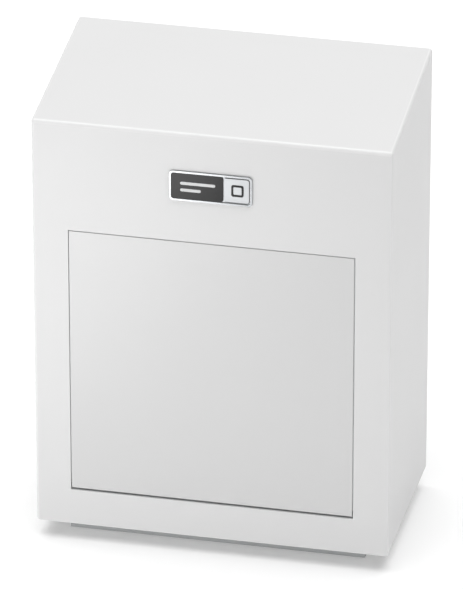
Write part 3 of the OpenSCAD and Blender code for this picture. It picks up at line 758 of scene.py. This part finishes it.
def round_edges(
    piece: bpy.types.Object, wanted: Callable[[Vector, Vector], bool], radius_mm: float, segments: int
) -> None:
    """Rounds the edges whose ends pass a test.

    Args:
        piece: The piece to work on.
        wanted: Test of an edge's two ends.
        radius_mm: Radius of the rounding.
        segments: Flats round the rounding.
    """
    if select_edges(piece, wanted):
        bpy.ops.mesh.bevel(
            offset=radius_mm * MM, segments=segments, profile=0.5, affect="EDGES", clamp_overlap=True
        )
    enter(Mode.OBJECT)


def soften(piece: bpy.types.Object, width_mm: float, segments: int = 2, angle: float = 40.0) -> None:
    """Breaks every remaining sharp edge and smooths the shading.

    Args:
        piece: The piece to finish.
        width_mm: Width of the broken edge.
        segments: Flats across it.
        angle: Only edges sharper than this, in degrees, are broken.
    """
    work_on(piece)
    bevel = piece.modifiers.new("edges", "BEVEL")
    bevel.width = width_mm * MM
    bevel.segments = segments
    bevel.limit_method = "ANGLE"
    bevel.angle_limit = math.radians(angle)
    bevel.use_clamp_overlap = True
    bpy.ops.object.modifier_apply(modifier=bevel.name)
    smooth(piece)


def smooth(piece: bpy.types.Object) -> None:
    """Smooths the shading over rounded edges and keeps it flat on flat sides."""
    work_on(piece)
    bpy.ops.object.shade_smooth_by_angle(angle=math.radians(35))
    flat = piece.modifiers.new("flat_sides", "WEIGHTED_NORMAL")
    flat.keep_sharp = True
    bpy.ops.object.modifier_apply(modifier=flat.name)


def keep_part(piece: bpy.types.Object, wanted: Callable[[Vector], bool]) -> None:
    """Deletes the loose parts of a piece whose points fail a test.

    Args:
        piece: The piece to cut down.
        wanted: Test of a point.
    """
    work_on(piece)
    enter(Mode.EDIT)
    bpy.ops.mesh.select_mode(type="VERT")
    bpy.ops.mesh.select_all(action="DESELECT")
    enter(Mode.OBJECT)
    for point in piece.data.vertices:
        point.select = not wanted(point.co)
    enter(Mode.EDIT)
    bpy.ops.mesh.delete(type="VERT")
    enter(Mode.OBJECT)


def dress(piece: bpy.types.Object, finish: Finish) -> None:
    """Gives a piece one finish, in place of whatever it had."""
    piece.data.materials.clear()
    piece.data.materials.append(finish.build())


def place_piece(
    piece: bpy.types.Object, body: str, finish: Finish, replaced: Sequence[str] = ()
) -> None:
    """Dresses a new piece and fastens it to its body.

    Args:
        piece: The new piece.
        body: Body that it rides on.
        finish: Its finish.
        replaced: CAD nodes that it stands for.
    """
    dress(piece, finish)
    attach(piece, body)
    if replaced:
        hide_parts(*replaced)
    LOG.info("%s rides on %s", piece.name, body)


# ---------------------------------------------------------------- sub-assemblies


@dataclass
class Hood:
    """The folded outer casing: front, sides, sloping roof and the flange turned in below."""

    sheet_mm: float = 1.5
    fold_mm: float = 3.0
    segments: int = 6
    broken_mm: float = 0.25
    outside: Box = field(init=False)
    inside: Box = field(init=False)
    slope: float = field(init=False)

    def __post_init__(self) -> None:
        """Reads the hood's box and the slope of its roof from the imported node."""
        self.outside = Box.of("hood")
        self.inside = self.outside.inset(self.sheet_mm * MM)
        front = self.outside.low.y
        points = [v.co for v in frame["nodes"]["hood"].data.vertices]
        front_top = max(p.z for p in points if p.y < front + NEAR)
        self.slope = (self.outside.high.z - front_top) / (self.outside.high.y - front)

    def build(self) -> None:
        """Rounds the folds inside and out, so the sheet keeps its thickness round them."""
        piece = merged_copy("hood", "folded_hood")
        round_edges(piece, lambda a, b: self.is_fold(a, b, self.inside, self.sheet_mm),
                    self.fold_mm - self.sheet_mm,
                    self.segments)
        round_edges(piece, lambda a, b: self.is_fold(a, b, self.outside, 0.0), self.fold_mm, self.segments)
        soften(piece, self.broken_mm, 2, 60.0)
        # Painted highlight: the points on the folds get a lighter coat colour.
        self.paint_fold_highlights(piece)
        place_piece(piece, "casing", WHITE_COAT, ["hood"])

    def paint_fold_highlights(self, piece: bpy.types.Object) -> None:
        """Marks the points inside the roundings, which touch no flat side, for the coat's painted highlight
        along the folds.
        """
        tilt = math.atan(self.slope)
        flats = [
            Vector((1, 0, 0)),
            Vector((0, 1, 0)),
            Vector((0, 0, 1)),
            Vector((0, -math.sin(tilt), math.cos(tilt))),
        ]
        on_flat = set()
        for side in piece.data.polygons:
            if any(abs(side.normal.dot(flat)) > 0.9995 for flat in flats):
                on_flat.update(side.vertices)
        mark = piece.data.attributes.new(FOLD_HIGHLIGHT_PAINT, "FLOAT", "POINT")
        for point in piece.data.vertices:
            mark.data[point.index].value = 0.0 if point.index in on_flat else 1.0

    def is_fold(self, a: Vector, b: Vector, skin: Box, depth_mm: float) -> bool:
        """True for an edge between two sides of one skin of the hood, apart from its open rear.

        Args:
            a: One end of the edge.
            b: Its other end.
            skin: Box of the outer or the inner skin.
            depth_mm: How deep that skin lies.

        Returns:
            Whether the edge is a fold.
        """
        if Box.of("hood").on_high(a, b, Axis.Y):
            return False
        sides = skin.on_low(a, b, Axis.X) or skin.on_high(a, b, Axis.X)
        roof = self.under_roof(a, depth_mm) and self.under_roof(b, depth_mm)
        return sides + skin.on_low(a, b, Axis.Y) + skin.on_low(a, b, Axis.Z) + roof >= 2

    def under_roof(self, point: Vector, depth_mm: float) -> bool:
        """True when a point lies a given depth below the roof's outer face."""
        roof = self.outside.high.z - self.slope * (self.outside.high.y - point.y)
        return abs(roof - depth_mm * MM * math.hypot(1.0, self.slope) - point.z) < NEAR


@dataclass
class ServicePanel:
    """The flush square panel: a painted tray with softly rounded front edges."""

    edge_mm: float = 0.7
    segments: int = 4
    broken_mm: float = 0.2

    def build(self) -> None:
        """Rounds the panel's front edges and breaks the others."""
        panel = Box.of("front_panel")
        piece = merged_copy("front_panel", "panel_tray")

        def is_front(a: Vector, b: Vector) -> bool:
            """Edges round the front skin, apart from the rolled one below."""
            rim = panel.on_low(a, b, Axis.X) or panel.on_high(a, b, Axis.X) or panel.on_high(a, b, Axis.Z)
            return panel.on_low(a, b, Axis.Y) and rim

        round_edges(piece, is_front, self.edge_mm, self.segments)
        soften(piece, self.broken_mm, 1, 60.0)
        place_piece(piece, "service_panel", PANEL_COAT, ["front_panel"])


@dataclass
class EdgeLip:
    """Thin grey seal in the gap round the panel, behind its face: three strips on the panel, one below it.

    The strip below is thinner than the others, because the face of the open panel comes down close to it.
    """

    thick_mm: float = 0.7
    below_mm: float = 0.3
    behind_mm: float = 0.9
    depth_mm: float = 2.2
    above_hinge_mm: float = 8.0
    gap_mm: float = 1.0

    def build(self) -> None:
        """Makes the left, right and top strips, joined into one seal, and the strip on the hood below."""
        panel = Box.of("front_panel")
        thick = self.thick_mm * MM
        front = panel.low.y + self.behind_mm * MM
        rear = front + self.depth_mm * MM
        foot = panel.low.z + self.above_hinge_mm * MM
        left = block("lip_left", (panel.low.x - thick, front, foot), (panel.low.x, rear, panel.high.z))
        right = block("lip_right", (panel.high.x, front, foot), (panel.high.x + thick, rear, panel.high.z))
        top = block(
            "edge_lip",
            (panel.low.x - thick, front, panel.high.z),
            (panel.high.x + thick, rear, panel.high.z + thick),
        )
        for strip in (left, right, top):
            soften(strip, self.thick_mm / 4, 2)
        work_on(top)
        left.select_set(True)
        right.select_set(True)
        bpy.ops.object.join()
        place_piece(top, "service_panel", PALE_SEAL)
        sill = panel.low.z - self.gap_mm * MM
        low = block("lower_lip", (panel.low.x, front, sill), (panel.high.x, rear, sill + self.below_mm * MM))
        soften(low, self.below_mm / 4, 2)
        place_piece(low, "casing", PALE_SEAL)


@dataclass
class SmallPieces:
    """The pieces that keep the shape of their node but get broken edges and small radii."""

    rounding_mm: float = 0.4

    def build(self) -> None:
        """Copies each node of the table with its edges broken."""
        record = frame["record"]
        bodies = {node: body for body, nodes in record["behaviour"]["bodies"].items() for node in nodes}
        for node, width in BROKEN_EDGES.items():
            piece = merged_copy(node, f"{node}_piece")
            soften(piece, width, 2 if width >= self.rounding_mm else 1)
            place_piece(piece, bodies[node], NODE_FINISHES[node], [node])


@dataclass
class CableEntry:
    """Closed membrane in the grommet of the cable entry, which is pierced when the supply cable is fitted."""

    thick_mm: float = 0.9
    edge_mm: float = 1.0

    def build(self) -> None:
        """Makes a thin disc across the grommet, with its middle drawn in to guide the cable."""
        grommet = Box.of("cable_grommet")
        centre = (grommet.low + grommet.high) / 2
        radius = (grommet.high.x - grommet.low.x) / 2 - 4 * self.edge_mm * MM
        bpy.ops.object.select_all(action="DESELECT")
        bpy.ops.mesh.primitive_cylinder_add(
            vertices=48,
            radius=radius,
            depth=self.thick_mm * MM,
            location=centre,
            rotation=(math.radians(90), 0, 0),
        )
        piece = bpy.context.object
        piece.name = "entry_membrane"
        bpy.ops.object.transform_apply(location=True, rotation=True, scale=True)
        enter(Mode.EDIT)
        bpy.ops.mesh.select_mode(type="FACE")
        bpy.ops.mesh.select_all(action="DESELECT")
        enter(Mode.OBJECT)
        for side in piece.data.polygons:
            side.select = side.normal.y > 0.9
        enter(Mode.EDIT)
        bpy.ops.mesh.inset(thickness=radius / 2, depth=0.0)
        bpy.ops.mesh.inset(thickness=radius / 6, depth=-self.thick_mm * MM / 2)
        enter(Mode.OBJECT)
        smooth(piece)
        place_piece(piece, "casing", RUBBER)


@dataclass
class LatchSprings:
    """The two latch springs, one piece for each latch."""

    keep: float = 0.82

    def build(self) -> None:
        """Splits the springs into a left and a right piece, both carried by the casing."""
        springs = Box.of("latch_springs")
        for side, sign in (("left", -1), ("right", 1)):
            piece = merged_copy("latch_springs", f"{side}_latch_spring")
            keep_part(piece, lambda point: point.x * sign > 0)
            smooth(piece)
            place_piece(piece, "casing", SPRING_WIRE, ["latch_springs"])
            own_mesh(piece)


@dataclass
class Badge:
    """The name plate: a bright rim round a dark field and a satin field, with plain marks."""

    rim_round_mm: float = 0.6
    corner_mm: float = 2.8
    dark_corner_mm: float = 3.2
    divider_mm: float = 1.1
    backing_mm: float = 0.45
    line_mm: float = 0.6
    margin_mm: float = 0.7

    def build(self) -> None:
        """Makes the rim, the backing, the two fields and the marks."""
        self.rim()
        dark, light = Box.of("badge_dark_field"), Box.of("badge_light_field")
        self.backing(dark, light)
        self.dark_field(dark)
        self.light_field(light)
        self.marks(dark)

    def rim(self) -> None:
        """Rounds the front edges of the rim, so it catches the light like a pressed and plated one."""
        rim = Box.of("badge_bezel")
        piece = merged_copy("badge_bezel", "plated_rim")
        round_edges(piece, lambda a, b: rim.on_low(a, b, Axis.Y), self.rim_round_mm, 4)
        smooth(piece)
        place_piece(piece, "casing", CHROME, ["badge_bezel"])

    def plate(self, name: str, box: Box, corners_mm: tuple[float, float]) -> bpy.types.Object:
        """A thin plate with rounded corners and a broken front edge.

        Args:
            name: Name of the piece.
            box: Its box.
            corners_mm: Radius of the left and of the right corners.

        Returns:
            The plate.
        """
        piece = block(name, box.low, box.high)

        def corner(a: Vector, b: Vector, right: bool) -> bool:
            """Upright corner edges on one side of the plate."""
            side = box.on_high(a, b, Axis.X) if right else box.on_low(a, b, Axis.X)
            return side and (box.on_low(a, b, Axis.Z) or box.on_high(a, b, Axis.Z))

        for right, radius in zip((False, True), corners_mm):
            round_edges(piece, lambda a, b: corner(a, b, right), radius, 6)
        round_edges(piece, lambda a, b: box.on_low(a, b, Axis.Y), 0.15, 2)
        smooth(piece)
        return piece

    def backing(self, dark: Box, light: Box) -> None:
        """The satin plate under both fields, which shows as a bright line between them."""
        low = Vector((dark.low.x, dark.high.y - self.backing_mm * MM, dark.low.z))
        piece = self.plate("badge_backing", Box(low, light.high.copy()), (self.corner_mm, self.corner_mm))
        place_piece(piece, "casing", SATIN_PLATE)

    def dark_field(self, dark: Box) -> None:
        """The enamelled field, with wide corners next to the divider."""
        high = Vector((dark.high.x - self.divider_mm * MM, dark.high.y, dark.high.z))
        piece = self.plate("dark_enamel_field", Box(dark.low, high), (self.corner_mm, self.dark_corner_mm))
        place_piece(piece, "casing", BADGE_ENAMEL, ["badge_dark_field"])

    def light_field(self, light: Box) -> None:
        """The satin field inside a thin dark line."""
        gap, line = self.margin_mm * MM, self.line_mm * MM
        low = Vector((light.low.x + gap / 2, light.low.y + 0.2 * MM, light.low.z + gap))
        high = Vector((light.high.x - gap, light.high.y, light.high.z - gap))
        outline = self.plate("field_outline", Box(low, high), (0.5, self.corner_mm))
        place_piece(outline, "casing", BADGE_ENAMEL)
        inner_low = Vector((low.x, light.low.y, low.z + line))
        inner_high = Vector((high.x - line, high.y, high.z - line))
        piece = self.plate("satin_field", Box(inner_low, inner_high), (0.5, self.corner_mm - self.line_mm))
        place_piece(piece, "casing", SATIN_PLATE, ["badge_light_field"])

    def marks(self, dark: Box) -> None:
        """Two plain pale bars on the dark field, and a small dark frame on the satin one."""
        marks = Box.of("badge_marks")
        bars = merged_copy("badge_marks", "pale_bars")
        keep_part(bars, lambda point: point.x < dark.high.x)
        square = merged_copy("badge_marks", "dark_square")
        keep_part(square, lambda point: point.x > dark.high.x)
        for piece, slot, finish in ((bars, "badge_mark", PALE_PRINT), (square, "badge_dark", BADGE_ENAMEL)):
            round_edges(piece, lambda a, b: marks.on_low(a, b, Axis.Y), 0.15, 2)
            smooth(piece)
            place_piece(piece, "casing", finish, ["badge_marks"])


@dataclass
class Studio:
    """Plain pale floor, soft light and the camera."""

    azimuth: float = 12.7
    elevation: float = 26.2
    distance: float = 6.225
    lens: float = 391.0
    aim: tuple[float, float, float] = (-0.004, -0.007, 0.230)
    surround: float = 0.08
    overhead: float = 3.28
    key: float = 0.3
    low_left: float = 1.55
    bounce: float = 0.4
    floor_glow: float = 0.2
    floor_colour: str = "#ededed"
    floor_size: float = 40.0
    sun_spread: float = 70.0
    sensor_mm: float = 36.0
    far_clip: float = 60.0

    def build(self) -> None:
        """Sets up the floor, the lights and the camera."""
        self.floor()
        self.lights()
        self.camera()

    def floor(self) -> None:
        """A wide pale floor under the plinth, lit from inside a little so that shadows on it stay soft."""
        bpy.ops.object.select_all(action="DESELECT")
        bpy.ops.mesh.primitive_plane_add(size=self.floor_size, location=(0.0, 0.0, CAD_BOX[0].z - 0.05 * MM))
        floor = bpy.context.object
        floor.name = "studio_floor"
        dress(floor, GlowingFloor("pale_floor", self.floor_colour, 0.9, glow=self.floor_glow))

    def lights(self) -> None:
        """A white surround, soft light from above, panels on the left, and one that lies on the floor."""
        world = bpy.data.worlds.new("white_surround")
        world.use_nodes = True
        background = world.node_tree.nodes["Background"]
        background.inputs["Color"].default_value = (1.0, 1.0, 1.0, 1.0)
        background.inputs["Strength"].default_value = self.surround
        bpy.context.scene.world = world
        data = bpy.data.lights.new("overhead", "SUN")
        data.energy = self.overhead
        data.angle = math.radians(self.sun_spread)
        bpy.context.scene.collection.objects.link(bpy.data.objects.new("overhead", data))
        self.panel("key", (-0.85, -0.85, 0.75), 0.5, self.key)
        self.panel("low_left", (-0.36, -0.85, 0.1), 0.4, self.low_left)
        self.panel("bounce", (-0.38, -0.6, 0.02), 0.4, self.bounce, (-0.38, -0.6, 1.0))

    def panel(
        self,
        name: str,
        place: Sequence[float],
        size: float,
        power: float,
        target: Sequence[float] = (0.0, 0.0, 0.22),
    ) -> None:
        """A square light panel that the camera doesn't see.

        Args:
            name: The light's name.
            place: Where it stands, in metres.
            size: Length of its side.
            power: Power in watts.
            target: Point that it faces, at first the object's middle.
        """
        data = bpy.data.lights.new(name, "AREA")
        data.shape = "SQUARE"
        data.size = size
        data.energy = power
        light = bpy.data.objects.new(name, data)
        light.location = place
        light.rotation_euler = (Vector(target) - Vector(place)).to_track_quat("-Z", "Y").to_euler()
        light.visible_camera = False
        bpy.context.scene.collection.objects.link(light)

    def camera(self) -> None:
        """A long lens, turned a little to the right of the front and looking down."""
        turn, rise = math.radians(self.azimuth), math.radians(self.elevation)
        back = Vector((math.sin(turn) * math.cos(rise), -math.cos(turn) * math.cos(rise), math.sin(rise)))
        data = bpy.data.cameras.new("camera")
        data.lens = self.lens
        data.sensor_width = self.sensor_mm
        data.clip_end = self.far_clip
        camera = bpy.data.objects.new("camera", data)
        camera.location = Vector(self.aim) + back * self.distance
        camera.rotation_euler = (-back).to_track_quat("-Z", "Y").to_euler()
        bpy.context.scene.collection.objects.link(camera)
        bpy.context.scene.camera = camera
        bpy.context.scene.view_settings.view_transform = "Standard"


def dress_nodes() -> None:
    """Gives every CAD node that stays its own finish."""
    for node, finish in NODE_FINISHES.items():
        dress(frame["nodes"][node], finish)
        LOG.info("%s is finished as %s", node, finish.name)


def main() -> None:
    """Builds the unit piece by piece, then the studio."""
    Studio().build()
    dress_nodes()
    Hood().build()
    ServicePanel().build()
    EdgeLip().build()
    Badge().build()
    SmallPieces().build()
    LatchSprings().build()
    CableEntry().build()


if __name__ == "__main__":
    logging.basicConfig(level=logging.INFO, format="%(message)s")
    main()
